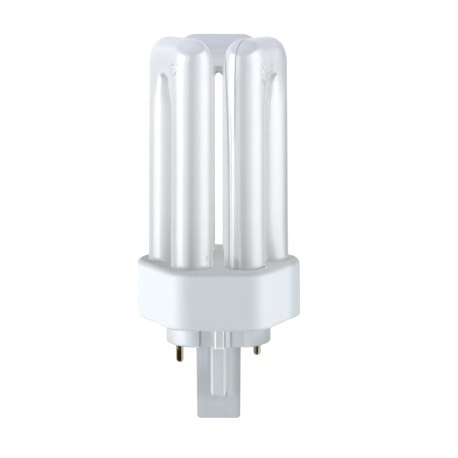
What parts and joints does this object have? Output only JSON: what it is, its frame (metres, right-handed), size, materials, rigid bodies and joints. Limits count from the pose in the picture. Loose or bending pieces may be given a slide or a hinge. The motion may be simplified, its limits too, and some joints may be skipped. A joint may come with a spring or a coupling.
{
  "type": "compact fluorescent bulb",
  "caption": "Plug-in compact fluorescent lamp: folded glass discharge tubes in a six-sided white housing, with a keyed collar, a post and contact pins that plug into a lampholder.",
  "frame": {"origin": "middle of the flat end of the cap's post, on the lamp's axis", "axes": "+Z along the lamp's axis from the post to the tube tops; -Y is the front, between two tube pairs"},
  "size_m": [0.049, 0.0448, 0.113],
  "materials": {
    "coated_glass": "glossy clear glass over a white powder coat",
    "housing_plastic": "satin white",
    "cap_plastic": "satin white, slightly milky",
    "pin_brass": "drawn brass",
    "cement": "dull adhesive",
    "starter_glass": "clear glass",
    "capacitor_film": "dipped",
    "lead_wire": "plated wire"
  },
  "bodies": {
    "root": {"discharge_tube": "coated_glass", "limb_cement": "cement", "housing": "housing_plastic", "base_cap": "cap_plastic", "contact_pin_left": "pin_brass", "contact_pin_right": "pin_brass", "glow_starter": "starter_glass", "suppression_capacitor": "capacitor_film", "pin_lead_left": "lead_wire", "pin_lead_right": "lead_wire", "starter_lead_left": "lead_wire", "starter_lead_right": "lead_wire"}
  },
  "joints": []
}
